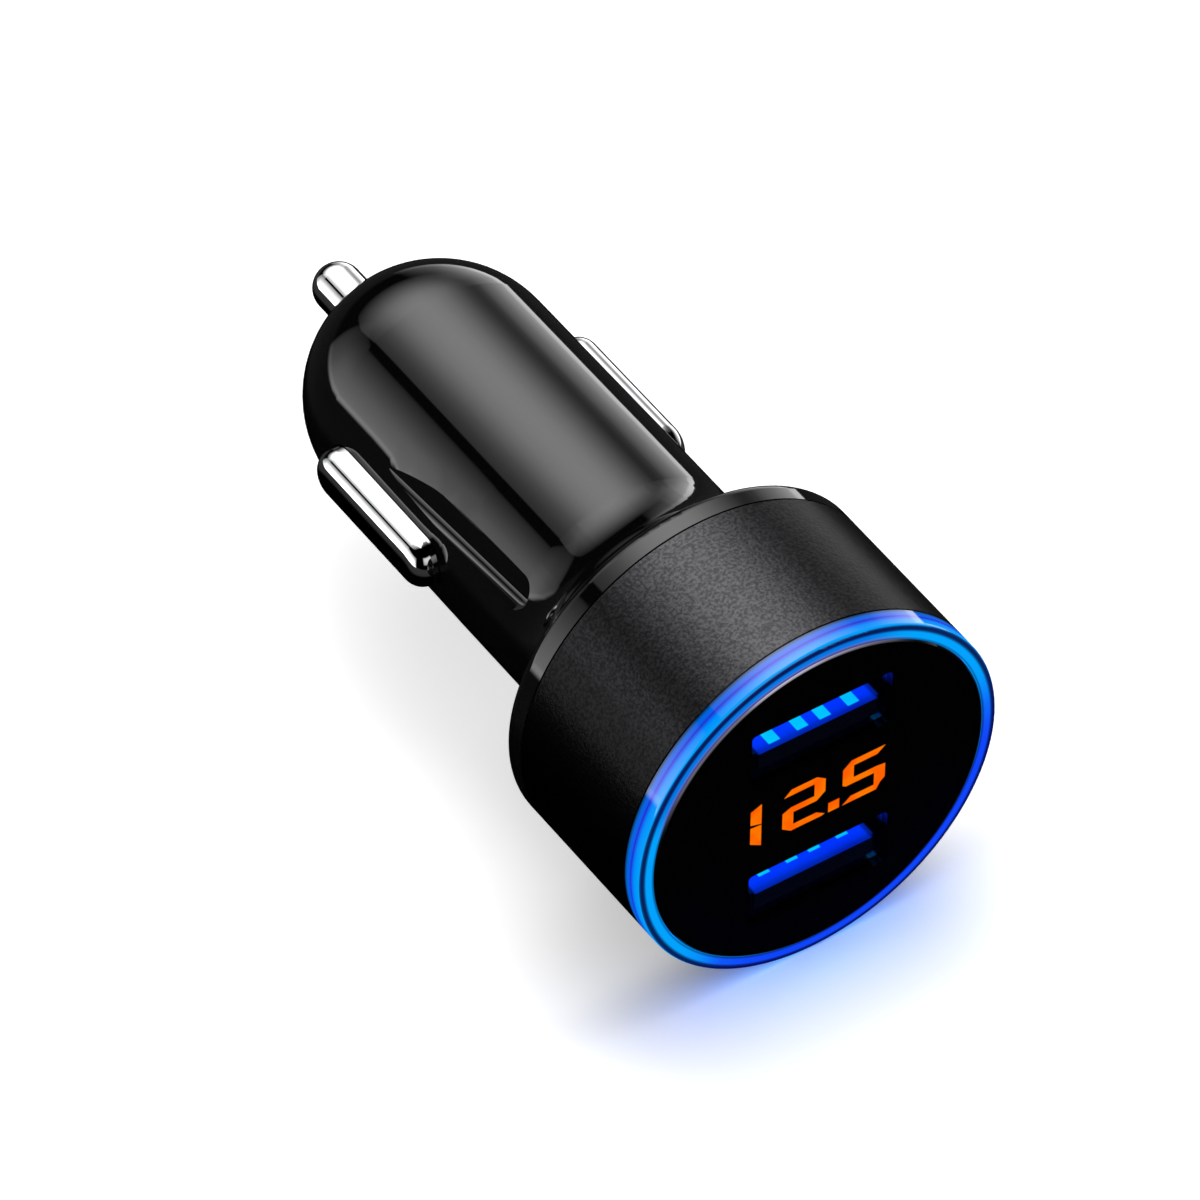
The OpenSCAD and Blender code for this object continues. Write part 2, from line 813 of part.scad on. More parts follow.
module main_board() {
    color("#1d3a2a") {
        block([-main_board_w / 2, main_board_low, main_board_z],
              [main_board_w / 2, main_board_top, front_board_z]);
        for (sx = [-1, 1])
            block([sx * tab_x - tab_w / 2, main_board_low, front_board_z - over],
                  [sx * tab_x + tab_w / 2, main_board_top, front_board_top - tab_set]);
    }
}

// Puts a part that stands on the main board upright, at one place along the axis
module on_board(z) {
    translate([0, main_board_top, z]) rotate([-90, 0, 0]) children();
}

module choke_core() {
    color("#3c3c40")
        on_board(choke_z) {
            cylinder(d = choke_d, h = choke_flange);
            cylinder(r = choke_core_r, h = choke_h);
            translate([0, 0, choke_h - choke_flange])
                cylinder(d = choke_d, h = choke_flange);
        }
}

module choke_winding() {
    wire_d = 0.5;
    wound_w = choke_d * 0.15;
    wound_h = choke_h - 2 * choke_flange - 2 * push_fit;
    low_z = choke_flange + push_fit;
    turns = floor(wound_h / wire_d);
    color("#b86a34")
        on_board(choke_z)
            rotate_extrude() {
                translate([choke_core_r + push_fit, low_z]) square([wound_w, wound_h]);
                for (i = [0 : turns - 1])
                    translate([choke_core_r + wound_w, low_z + (i + 0.5) * wire_d])
                        circle(d = wire_d);
            }
}

// An electrolytic can that lies on the main board, with its rolled neck and its legs
module capacitor(side) {
    rolled_r = 0.35;
    rolled_z = 1.5;
    rubber_d = cap_d - 1.2;
    rubber_set = 0.3;
    leg_d = 0.5;
    leg_root = 0.6;
    translate([side * (cap_d + cap_gap) / 2, main_board_top + cap_d / 2, cap_z0]) {
        difference() {
            cylinder(d = cap_d, h = cap_l);
            translate([0, 0, rolled_z])
                rotate_extrude()
                    translate([cap_d / 2 + rolled_r * 0.3, 0]) circle(r = rolled_r);
            translate([0, 0, -over]) cylinder(d = rubber_d, h = rubber_set + over);
        }
        for (sx = [-1, 1])
            translate([sx * cap_d / 5, 0, -cap_leg_out])
                cylinder(d = leg_d, h = cap_leg_out + leg_root);
    }
}

module input_capacitor() {
    color("#26324e") capacitor(-1);
}

module output_capacitor() {
    color("#26324e") capacitor(1);
}

// A part soldered to the underside of the main board
module under_board(w, h, long, x, z) {
    block([x - w / 2, main_board_low - h, z],
          [x + w / 2, main_board_low, z + long]);
}

module converter_chip() {
    color("#1a1a1c") under_board(chip_w, chip_h, chip_l, 0, choke_z - chip_l / 2);
}

module rectifier_diode() {
    diode_w = 2.6;
    diode_l = 4.3;
    gap = 1.2;
    color("#202022")
        under_board(diode_w, chip_h, diode_l, 0, choke_z - chip_l / 2 - gap - diode_l);
}

module board_fuse() {
    fuse_w = 1.6;
    fuse_h = 0.6;
    fuse_l = 3.2;
    edge = 1.5;
    color("#e8e4d8") under_board(fuse_w, fuse_h, fuse_l, 0, main_board_z + edge);
}

// Resistors and small capacitors under the main board
module small_parts() {
    small_w = 0.8;
    small_h = 0.5;
    small_l = 1.6;
    pitch = 2.6;
    rows = floor((front_board_z - cap_z0) / pitch);
    color("#8a7a60")
        for (i = [0 : rows - 1], sx = [-1, 1])
            under_board(small_w, small_h, small_l, sx * 2 * small_w, cap_z0 + i * pitch);
}

// The pin: a round-ended shank, a flange that stops it and a stem inside its spring
module tip_contact() {
    color("#d4d6d8") {
        translate([0, 0, tip_r]) sphere(r = tip_r);
        translate([0, 0, tip_r]) cylinder(r = tip_r, h = boss_z - tip_r + over);
        translate([0, 0, boss_z]) cylinder(d = flange_d, h = flange_t);
        translate([0, 0, boss_z]) cylinder(r = stem_r, h = flange_t + stem_l);
    }
}

module tip_spring() {
    color("#b4b6ba")
        translate([0, 0, boss_z + flange_t])
            coil_spring(tip_spring_d, tip_wire, tip_spring_l, tip_turns);
}

// The strip that the pin spring pushes on, folded down to the main board
module tip_terminal() {
    half_w = tip_spring_d / 2 + frame_margin;
    foot_half = frame_x - strip_t - frame_gap;
    foot_l = 3;
    color("#c8a04a") {
        block([-half_w, main_board_top, terminal_z],
              [half_w, half_w, terminal_z + strip_t]);
        block([-foot_half, main_board_top, terminal_z],
              [foot_half, main_board_top + strip_t, terminal_z + foot_l]);
    }
}

// The strip that carries both pairs of side springs, folded up on each side
module ground_frame() {
    foot_set = 4;
    foot_z0 = terminal_z + foot_set;
    color("#c8a04a") {
        for (sx = [0, 1])
            mirror([sx, 0, 0])
                block([frame_x - strip_t, main_board_top, max(frame_low_z, main_board_z)],
                      [frame_x, frame_h, frame_high_z]);
        block([-frame_x, main_board_top, foot_z0],
              [frame_x, main_board_top + strip_t, frame_high_z]);
    }
}

// The right side contact: an obround bar with round ends, a flange and two pegs
module side_contact() {
    flange_half = bar_h / 2 + bar_flange_w;
    flange_in = bar_seat - bar_flange_t;
    color("#d4d6d8") {
        round_bar(bar_h / 2, bar_z0, bar_z1, bar_seat - over, bar_reach, bar_round);
        sideways(flange_in, bar_seat)
            obround(flange_half, bar_z0 - bar_flange_w, bar_z1 + bar_flange_w);
        for (dz = [-1, 1])
            translate([flange_in - peg_l, 0, bar_mid_z + dz * side_spring_gap / 2])
                rotate([0, 90, 0])
                    cylinder(d = peg_d, h = peg_l + over);
    }
}

// The two springs behind the right side contact
module side_springs() {
    color("#b4b6ba")
        for (dz = [-1, 1])
            translate([frame_x, 0, bar_mid_z + dz * side_spring_gap / 2])
                rotate([0, 90, 0])
                    coil_spring(side_spring_d, side_wire, side_spring_l, side_turns);
}

module side_contact_right() {
    side_contact();
}

module side_contact_left() {
    mirror([1, 0, 0]) side_contact();
}

module side_springs_right() {
    side_springs();
}

module side_springs_left() {
    mirror([1, 0, 0]) side_springs();
}

place() plug_housing();
place() head_sleeve();
place() light_ring();
place() face_panel();
place() display_segments();
place() display_module();
place() display_pins();
place() front_board();
place() ring_lamps();
place() usb_shell_upper();
place() usb_shell_lower();
place() usb_tongue_upper();
place() usb_tongue_lower();
place() usb_contacts_upper();
place() usb_contacts_lower();
place() main_board();
place() choke_core();
place() choke_winding();
place() input_capacitor();
place() output_capacitor();
place() converter_chip();
place() rectifier_diode();
place() board_fuse();
place() small_parts();
place() tip_contact();
place() tip_spring();
place() tip_terminal();
place() ground_frame();
place() side_contact_left();
place() side_contact_right();
place() side_springs_left();
place() side_springs_right();
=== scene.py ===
import json
import math

import bmesh
import bpy
from mathutils import Matrix, Vector


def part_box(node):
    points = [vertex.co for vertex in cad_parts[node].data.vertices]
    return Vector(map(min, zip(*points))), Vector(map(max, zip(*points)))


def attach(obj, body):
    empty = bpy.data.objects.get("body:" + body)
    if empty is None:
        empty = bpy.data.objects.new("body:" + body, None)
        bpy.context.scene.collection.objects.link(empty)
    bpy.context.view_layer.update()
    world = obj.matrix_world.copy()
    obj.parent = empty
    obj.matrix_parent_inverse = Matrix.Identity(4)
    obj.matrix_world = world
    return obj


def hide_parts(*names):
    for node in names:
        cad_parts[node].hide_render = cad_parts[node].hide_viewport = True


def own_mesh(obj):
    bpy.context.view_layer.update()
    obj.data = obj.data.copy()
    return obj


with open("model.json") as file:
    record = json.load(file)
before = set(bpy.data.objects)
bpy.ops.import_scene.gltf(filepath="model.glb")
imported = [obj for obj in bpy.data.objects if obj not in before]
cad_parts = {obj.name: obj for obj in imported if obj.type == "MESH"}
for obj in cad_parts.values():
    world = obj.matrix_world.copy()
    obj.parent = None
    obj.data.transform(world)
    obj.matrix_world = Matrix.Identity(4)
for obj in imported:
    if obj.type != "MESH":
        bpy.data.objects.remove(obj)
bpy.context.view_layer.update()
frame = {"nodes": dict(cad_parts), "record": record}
print("frame loaded")

mm = 0.001
nodes = frame["nodes"]

# Places on the plug in mm: Y runs from the face (negative) to the nose (positive)
plug = {
    "ringFrontY": -25.6,
    "ringBackY": -23.75,
    "ringRadius": 15.9,
    "lipRadius": 14.65,
    "underside": -15.9,
}


def linearColour(code):
    parts = [int(code[i:i + 2], 16) / 255 for i in (0, 2, 4)]
    linear = [p / 12.92 if p <= 0.04045 else ((p + 0.055) / 1.055) ** 2.4 for p in parts]
    return linear + [1.0]


# Inputs are given in order or by name, and a node given as one is linked by its first output
def addNode(tree, kind, values=(), **settings):
    node = tree.nodes.new(kind)
    for name, value in settings.items():
        setattr(node, name, value)
    pairs = values.items() if isinstance(values, dict) else enumerate(values)
    for key, value in pairs:
        if isinstance(value, bpy.types.Node):
            value = value.outputs[0]
        if isinstance(value, bpy.types.NodeSocket):
            tree.links.new(value, node.inputs[key])
        else:
            node.inputs[key].default_value = value
    return node


# Smooth curve through a list of (place, height) points
def curveThrough(tree, value, points):
    low, high = points[0][0], points[-1][0]
    top = max(p[1] for p in points)
    place = addNode(tree, "ShaderNodeMapRange", [value, low, high])
    node = addNode(tree, "ShaderNodeFloatCurve", {"Value": place})
    curve = node.mapping.curves[0]
    spots = [((x - low) / (high - low), y / top) for x, y in points]
    curve.points[0].location = spots[0]
    curve.points[1].location = spots[-1]
    for spot in spots[1:-1]:
        curve.points.new(*spot)
    for point in curve.points:
        point.handle_type = "AUTO_CLAMPED"
    node.mapping.update()
    return addNode(tree, "ShaderNodeMath", [node, top], operation="MULTIPLY")


def newMaterial(name):
    material = bpy.data.materials.new(name)
    material.use_nodes = True
    tree = material.node_tree
    tree.nodes.clear()
    return material, tree


# Object coordinates, as they are and one by one in mm
def objectPlaces(tree):
    spot = addNode(tree, "ShaderNodeTexCoord").outputs["Object"]
    parts = addNode(tree, "ShaderNodeSeparateXYZ", [spot]).outputs
    inMm = [addNode(tree, "ShaderNodeMath", [part, mm], operation="DIVIDE") for part in parts]
    return spot, inMm


# Place along the plug, distance from its axis and turn about it from the right over the top
def roundPlaces(tree):
    _, (x, y, z) = objectPlaces(tree)
    squares = addNode(tree, "ShaderNodeMath", [z, z], operation="MULTIPLY")
    squares = addNode(tree, "ShaderNodeMath", [x, x, squares], operation="MULTIPLY_ADD")
    radius = addNode(tree, "ShaderNodeMath", [squares], operation="SQRT")
    turn = addNode(tree, "ShaderNodeMath", [z, x], operation="ARCTAN2")
    turn = addNode(tree, "ShaderNodeMath", [turn], operation="DEGREES")
    return y, radius, turn


# Injection-moulded ABS with polycarbonate, polished tool: the eye reads sharp reflections
# that waver a little where the wall has sunk
mouldedBlack = {
    "colour": "060607",
    "roughness": 0.045,
    "wave": 3.0,
    "waveHeight": 0.0012,
}


def makeMouldedBlack():
    material, tree = newMaterial("mouldedBlack")
    spot, _ = objectPlaces(tree)
    wave = addNode(tree, "ShaderNodeTexNoise", {
        "Vector": spot, "Scale": 1 / (mouldedBlack["wave"] * mm), "Detail": 1.0})
    normal = addNode(tree, "ShaderNodeBump", {
        "Height": wave, "Distance": mouldedBlack["waveHeight"] * mm})
    shader = addNode(tree, "ShaderNodeBsdfPrincipled", {
        "Base Color": linearColour(mouldedBlack["colour"]),
        "Roughness": mouldedBlack["roughness"],
        "Normal": normal,
    })
    addNode(tree, "ShaderNodeOutputMaterial", [shader])
    return material


# Aluminium blasted with fine beads, then anodised black: a dark satin with a dense grain,
# with painted shade that darkens it towards its two sides. The grain is drawn coarser than the
# beads
blastedBlack = {
    "colour": "424244",
    "grain": 0.26,
    "grainHeight": 0.02,
    "grainTone": 0.5,
    "grainSharpness": 0.6,
    "speckle": (0.35, 0.65),
    "coarseTimes": 3,
    "coarseShare": 0.5,
    "roughness": 0.3,
    "edgeTint": "dadada",
    "paintedShadeByTurn": [
        (-180, 0.3), (-150, 0.5), (-90, 0.8), (-30, 0.5), (20, 0.2), (50, 0.13), (60, 0.28),
        (74, 0.8), (85, 1), (105, 1), (126, 0.9), (140, 0.44), (150, 0.2), (165, 0.18),
        (180, 0.3),
    ],
}


def makeBlastedBlack():
    material, tree = newMaterial("blastedBlack")
    spot, _ = objectPlaces(tree)
    _, _, turn = roundPlaces(tree)
    coarseMm = blastedBlack["grain"] * blastedBlack["coarseTimes"]
    grain = addNode(tree, "ShaderNodeTexNoise", {
        "Vector": spot, "Scale": 1 / (blastedBlack["grain"] * mm),
        "Roughness": blastedBlack["grainSharpness"]})
    coarse = addNode(tree, "ShaderNodeTexNoise", {
        "Vector": spot, "Scale": 1 / (coarseMm * mm), "Detail": 1.0})
    height = addNode(
        tree, "ShaderNodeMath", [coarse, blastedBlack["coarseShare"], grain],
        operation="MULTIPLY_ADD")
    normal = addNode(tree, "ShaderNodeBump", {
        "Height": height, "Distance": blastedBlack["grainHeight"] * mm})
    speckle = addNode(
        tree, "ShaderNodeMapRange",
        [grain, *blastedBlack["speckle"], blastedBlack["grainTone"], 1.0],
        interpolation_type="SMOOTHSTEP")
    # painted shade: the colour darkens with the turn about the axis, most on the two sides
    byTurn = curveThrough(tree, turn, blastedBlack["paintedShadeByTurn"])
    tone = addNode(tree, "ShaderNodeMath", [speckle, byTurn], operation="MULTIPLY")
    colour = addNode(tree, "ShaderNodeMix", {
        0: tone, 6: linearColour("000000"), 7: linearColour(blastedBlack["colour"]),
    }, data_type="RGBA").outputs[2]
    shader = addNode(tree, "ShaderNodeBsdfPrincipled", {
        "Base Color": colour,
        "Metallic": 1.0,
        "Roughness": blastedBlack["roughness"],
        "Specular Tint": linearColour(blastedBlack["edgeTint"]),
        "Normal": normal,
    })
    addNode(tree, "ShaderNodeOutputMaterial", [shader])
    return material


# Clear acrylic lit from below: its wall glows pale blue with a violet line where the light
# turns inside it, and its front shows a bright band between two dark edges, with a painted
# highlight in violet on the inner edge of its top
litRing = {
    "body": "04070f",
    "roughness": 0.05,
    "wall": [
        (0.0, "04203c"), (0.08, "0050a0"), (0.16, "0064d2"), (0.3, "0060f0"), (0.4, "2024c8"),
        (0.5, "0a64f0"), (0.62, "008cfa"), (0.93, "00a0fa"), (1.0, "061c46"),
    ],
    "frontShape": [
        (0.0, 0.5), (0.1, 0.12), (0.2, 0.03), (0.3, 0.06), (0.38, 0.28), (0.46, 0.75),
        (0.54, 1.0), (0.82, 1.0), (0.9, 0.62), (1.0, 0.3),
    ],
    "frontSide": "00a2fe",
    "frontLow": "0e44fa",
    "frontTop": "0078e4",
    "frontDark": "04064c",
    "paintedInnerHighlight": "6a60b4",
    "lowByTurn": [
        (-180, 0), (-150, 0), (-122, 0.9), (-100, 1), (-15, 1), (2, 0.8), (15, 0.3),
        (30, 0), (180, 0),
    ],
    "topByTurn": [(-180, 0), (55, 0), (80, 1), (150, 1), (168, 0), (180, 0)],
    "innerEdge": (0.68, 0.95),
    "strength": 1.0,
    "frontStarts": (-0.55, -0.8),
}


def makeLitRing():
    material, tree = newMaterial("litRing")
    y, radius, turn = roundPlaces(tree)
    alongWall = addNode(
        tree, "ShaderNodeMapRange", [y, plug["ringBackY"], plug["ringFrontY"]])
    wall = addNode(tree, "ShaderNodeValToRGB", [alongWall])
    stops = wall.color_ramp.elements
    while len(stops) < len(litRing["wall"]):
        stops.new(0.5)
    for stop, (place, code) in zip(stops, litRing["wall"]):
        stop.position = place
        stop.color = linearColour(code)
    inwards = addNode(
        tree, "ShaderNodeMapRange", [radius, plug["ringRadius"], plug["lipRadius"]])
    low = curveThrough(tree, turn, litRing["lowByTurn"])
    top = curveThrough(tree, turn, litRing["topByTurn"])
    # painted highlight: violet on the inner edge of the front, only over the top
    innerEdge = addNode(
        tree, "ShaderNodeMapRange", [inwards, *litRing["innerEdge"]],
        interpolation_type="SMOOTHSTEP")
    paintedInnerHighlight = addNode(tree, "ShaderNodeMath", [top, innerEdge], operation="MULTIPLY")
    bright = linearColour(litRing["frontSide"])
    for share, name in ((low, "frontLow"), (top, "frontTop"), (paintedInnerHighlight, "paintedInnerHighlight")):
        bright = addNode(
            tree, "ShaderNodeMix", {0: share, 6: bright, 7: linearColour(litRing[name])},
            data_type="RGBA").outputs[2]
    shape = curveThrough(tree, inwards, litRing["frontShape"])
    front = addNode(
        tree, "ShaderNodeMix", {0: shape, 6: linearColour(litRing["frontDark"]), 7: bright},
        data_type="RGBA").outputs[2]
    normal = addNode(tree, "ShaderNodeNewGeometry").outputs["Normal"]
    forward = addNode(tree, "ShaderNodeSeparateXYZ", [normal]).outputs[1]
    onFront = addNode(
        tree, "ShaderNodeMapRange", [forward, *litRing["frontStarts"]],
        interpolation_type="SMOOTHSTEP")
    colour = addNode(
        tree, "ShaderNodeMix", {0: onFront, 6: wall, 7: front}, data_type="RGBA").outputs[2]
    shader = addNode(tree, "ShaderNodeBsdfPrincipled", {
        "Base Color": linearColour(litRing["body"]),
        "Roughness": litRing["roughness"],
        "Emission Color": colour,
        "Emission Strength": litRing["strength"],
    })
    addNode(tree, "ShaderNodeOutputMaterial", [shader])
    return material


# Smoked polycarbonate window, polished: black glass to the eye, with a painted highlight, a
# pale glowing line on the part of its rim where it would mirror the room and the ring together
windowBlack = {
    "colour": "020203",
    "roughness": 0.02,
    "paintedHighlightColour": "beb9cd",
    "paintedHighlightByRadius": [(14.44, 0), (14.54, 0.75), (14.6, 1), (14.7, 1)],
    "paintedHighlightByTurn": [
        (-180, 0), (50, 0), (65, 0.18), (90, 0.75), (105, 1), (120, 0.32), (140, 0.3),
        (155, 0.1), (168, 0), (180, 0),
    ],
}


def makeWindowBlack():
    material, tree = newMaterial("windowBlack")
    _, radius, turn = roundPlaces(tree)
    # painted highlight: a pale glow on the rim, by radius and by the turn about the axis
    byRadius = curveThrough(tree, radius, windowBlack["paintedHighlightByRadius"])
    byTurn = curveThrough(tree, turn, windowBlack["paintedHighlightByTurn"])
    rim = addNode(tree, "ShaderNodeMath", [byRadius, byTurn], operation="MULTIPLY")
    shader = addNode(tree, "ShaderNodeBsdfPrincipled", {
        "Base Color": linearColour(windowBlack["colour"]),
        "Roughness": windowBlack["roughness"],
        "Emission Color": linearColour(windowBlack["paintedHighlightColour"]),
        "Emission Strength": rim,
    })
    addNode(tree, "ShaderNodeOutputMaterial", [shader])
    return material


# How wide the noise's middle is spread over the two tones and the two roughnesses
finishSpread = {"tone": (0.35, 0.65), "roughness": (0.3, 0.7)}


def makeFinish(name, look):
    material, tree = newMaterial(name)
    spot, _ = objectPlaces(tree)
    drawn = addNode(
        tree, "ShaderNodeMapping", {"Vector": spot, "Scale": look.get("drawn", (1, 1, 1))})
    tone = addNode(tree, "ShaderNodeTexNoise", {
        "Vector": drawn, "Scale": 1 / (look["toneMm"] * mm), "Detail": 3.0})
    grain = addNode(tree, "ShaderNodeTexNoise", {
        "Vector": drawn, "Scale": 1 / (look["grainMm"] * mm)})
    share = addNode(
        tree, "ShaderNodeMapRange", [tone, *finishSpread["tone"]],
        interpolation_type="SMOOTHSTEP")
    roughness = addNode(
        tree, "ShaderNodeMapRange", [tone, *finishSpread["roughness"], *look["roughness"]],
        interpolation_type="SMOOTHSTEP")
    colour = addNode(tree, "ShaderNodeMix", {
        0: share, 6: linearColour(look["colour"]), 7: linearColour(look["second"]),
    }, data_type="RGBA").outputs[2]
    normal = addNode(tree, "ShaderNodeBump", {
        "Height": grain, "Distance": look["reliefMm"] * mm})
    values = {
        "Base Color": colour,
        "Roughness": roughness,
        "Metallic": look.get("metallic", 0.0),
        "Normal": normal,
    }
    # glow is lamp light on the lamps and painted light on the gilt strips
    if "glow" in look:
        values["Emission Color"] = linearColour(look["glow"])
        values["Emission Strength"] = look["glowStrength"]
    shader = addNode(tree, "ShaderNodeBsdfPrincipled", values)
    addNode(tree, "ShaderNodeOutputMaterial", [shader])
    return material


# Light pipes of the numerals: frosted acrylic over orange lamps, uneven by a shade
litNumerals = {
    "deep": "ff5f00",
    "light": "ff7600",
    "patchMm": 1.6,
    "patchSpread": (0.35, 0.65),
    "strength": 1.0,
}


def makeLitNumerals():
    material, tree = newMaterial("litNumerals")
    spot, _ = objectPlaces(tree)
    patch = addNode(tree, "ShaderNodeTexNoise", {
        "Vector": spot, "Scale": 1 / (litNumerals["patchMm"] * mm), "Detail": 1.0})
    share = addNode(
        tree, "ShaderNodeMapRange", [patch, *litNumerals["patchSpread"]],
        interpolation_type="SMOOTHSTEP")
    glow = addNode(tree, "ShaderNodeMix", {
        0: share, 6: linearColour(litNumerals["deep"]), 7: linearColour(litNumerals["light"]),
    }, data_type="RGBA").outputs[2]
    shader = addNode(tree, "ShaderNodeEmission", [glow, litNumerals["strength"]])
    addNode(tree, "ShaderNodeOutputMaterial", [shader])
    return material


# Blue insulator of a socket, with painted light: a blue glow on its upper side only, fading
# towards its sides, its front and deep inside, while its end stays dark
litTongue = {
    "body": "02040c",
    "glow": "0034ff",
    "roughness": 0.25,
    "strength": 1.0,
    "upperSide": (0.3, 0.8),
    "otherSides": 0.004,
    "byWidth": [(-5.7, 0.02), (-5.25, 0.1), (-5.0, 1), (4.9, 1), (5.2, 0.5), (5.7, 0.05)],
    "byDepth": [(-25.3, 0.3), (-24.9, 0.5), (-24.3, 0.9), (-23.8, 1), (-22, 0.8), (-15, 0.2)],
}


def makeLitTongue():
    material, tree = newMaterial("litTongue")
    normal = addNode(tree, "ShaderNodeNewGeometry").outputs["Normal"]
    upward = addNode(tree, "ShaderNodeSeparateXYZ", [normal]).outputs[2]
    _, (x, y, _) = objectPlaces(tree)
    # painted light: the glow follows how far a face turns up, and its place across and along
    # the socket
    lit = addNode(
        tree, "ShaderNodeMapRange",
        [upward, *litTongue["upperSide"], litTongue["otherSides"], 1.0],
        interpolation_type="SMOOTHSTEP")
    byWidth = curveThrough(tree, x, litTongue["byWidth"])
    byDepth = curveThrough(tree, y, litTongue["byDepth"])
    for share in (byWidth, byDepth, litTongue["strength"]):
        lit = addNode(tree, "ShaderNodeMath", [lit, share], operation="MULTIPLY")
    shader = addNode(tree, "ShaderNodeBsdfPrincipled", {
        "Base Color": linearColour(litTongue["body"]),
        "Roughness": litTongue["roughness"],
        "Emission Color": linearColour(litTongue["glow"]),
        "Emission Strength": lit,
    })
    addNode(tree, "ShaderNodeOutputMaterial", [shader])
    return material


# Glass-fibre board under green solder mask: copper tracks run below the mask as paler lines
solderMask = {
    "mask": "12352a",
    "track": "2a6448",
    "trackPitch": 0.9,
    "trackEdge": (0.6, 0.7),
    "patchMm": 4.0,
    "patchEdge": (0.48, 0.5),
    "trackHeight": 0.02,
    "roughness": 0.32,
}


def makeSolderMask():
    material, tree = newMaterial("solderMask")
    spot, _ = objectPlaces(tree)
    # a wave texture of scale 1 repeats every pi / 10
    waveLength = 0.314
    lines = addNode(tree, "ShaderNodeTexWave", {
        "Vector": spot, "Scale": waveLength / (solderMask["trackPitch"] * mm),
    }, bands_direction="X").outputs[1]
    patch = addNode(tree, "ShaderNodeTexNoise", {
        "Vector": spot, "Scale": 1 / (solderMask["patchMm"] * mm), "Detail": 1.0})
    onTrack = addNode(
        tree, "ShaderNodeMapRange", [lines, *solderMask["trackEdge"]],
        interpolation_type="SMOOTHSTEP")
    inPatch = addNode(
        tree, "ShaderNodeMapRange", [patch, *solderMask["patchEdge"]],
        interpolation_type="SMOOTHSTEP")
    track = addNode(tree, "ShaderNodeMath", [onTrack, inPatch], operation="MULTIPLY")
    colour = addNode(tree, "ShaderNodeMix", {
        0: track, 6: linearColour(solderMask["mask"]), 7: linearColour(solderMask["track"]),
    }, data_type="RGBA").outputs[2]
    normal = addNode(tree, "ShaderNodeBump", {
        "Height": track, "Distance": solderMask["trackHeight"] * mm})
    shader = addNode(tree, "ShaderNodeBsdfPrincipled", {
        "Base Color": colour,
        "Roughness": solderMask["roughness"],
        "Normal": normal,
    })
    addNode(tree, "ShaderNodeOutputMaterial", [shader])
    return material


# Electrolytic capacitor: shrunk sleeve with a pale stripe over an aluminium can, whose bare
# end shows a cross pressed into it
capacitor = {
    "sleeve": "1c2848",
    "stripe": "a8b0b8",
    "can": "c4c8cc",
    "stripeHalf": 24.0,
    "stripeSoftness": 2.0,
    "endStarts": (0.85, 0.95),
    "creaseHalf": 0.18,
    "creaseDepth": 0.08,
    "roughness": (0.22, 0.34),
}


def makeCapacitor(name):
    material, tree = newMaterial(name + "Can")
    low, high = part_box(name)
    middle = [(a + b) / 2 / mm for a, b in zip(low, high)]
    _, (x, _, z) = objectPlaces(tree)
    across = addNode(tree, "ShaderNodeMath", [x, middle[0]], operation="SUBTRACT")
    upward = addNode(tree, "ShaderNodeMath", [z, middle[2]], operation="SUBTRACT")
    turn = addNode(tree, "ShaderNodeMath", [across, upward], operation="ARCTAN2")
    turn = addNode(tree, "ShaderNodeMath", [turn], operation="DEGREES")
    fromTop = addNode(tree, "ShaderNodeMath", [turn], operation="ABSOLUTE")
    stripeEnd = capacitor["stripeHalf"] + capacitor["stripeSoftness"]
    inStripe = addNode(
        tree, "ShaderNodeMapRange", [fromTop, capacitor["stripeHalf"], stripeEnd, 1.0, 0.0],
        interpolation_type="SMOOTHSTEP")
    side = addNode(tree, "ShaderNodeMix", {
        0: inStripe, 6: linearColour(capacitor["sleeve"]),
        7: linearColour(capacitor["stripe"]),
    }, data_type="RGBA").outputs[2]
    normal = addNode(tree, "ShaderNodeNewGeometry").outputs["Normal"]
    forward = addNode(tree, "ShaderNodeSeparateXYZ", [normal]).outputs[1]
    along = addNode(tree, "ShaderNodeMath", [forward], operation="ABSOLUTE")
    onEnd = addNode(
        tree, "ShaderNodeMapRange", [along, *capacitor["endStarts"]],
        interpolation_type="SMOOTHSTEP")
    toSide = addNode(tree, "ShaderNodeMath", [across], operation="ABSOLUTE")
    toTop = addNode(tree, "ShaderNodeMath", [upward], operation="ABSOLUTE")
    nearest = addNode(tree, "ShaderNodeMath", [toSide, toTop], operation="MINIMUM")
    crease = addNode(
        tree, "ShaderNodeMapRange", [nearest, 0.0, capacitor["creaseHalf"]],
        interpolation_type="SMOOTHSTEP")
    height = addNode(tree, "ShaderNodeMath", [crease, onEnd], operation="MULTIPLY")
    colour = addNode(
        tree, "ShaderNodeMix", {0: onEnd, 6: side, 7: linearColour(capacitor["can"])},
        data_type="RGBA").outputs[2]
    roughness = addNode(
        tree, "ShaderNodeMapRange", [onEnd, 0.0, 1.0, *capacitor["roughness"]],
        interpolation_type="SMOOTHSTEP")
    normal = addNode(tree, "ShaderNodeBump", {
        "Height": height, "Distance": capacitor["creaseDepth"] * mm})
    shader = addNode(tree, "ShaderNodeBsdfPrincipled", {
        "Base Color": colour,
        "Metallic": onEnd,
        "Roughness": roughness,
        "Normal": normal,
    })
    addNode(tree, "ShaderNodeOutputMaterial", [shader])
    return material


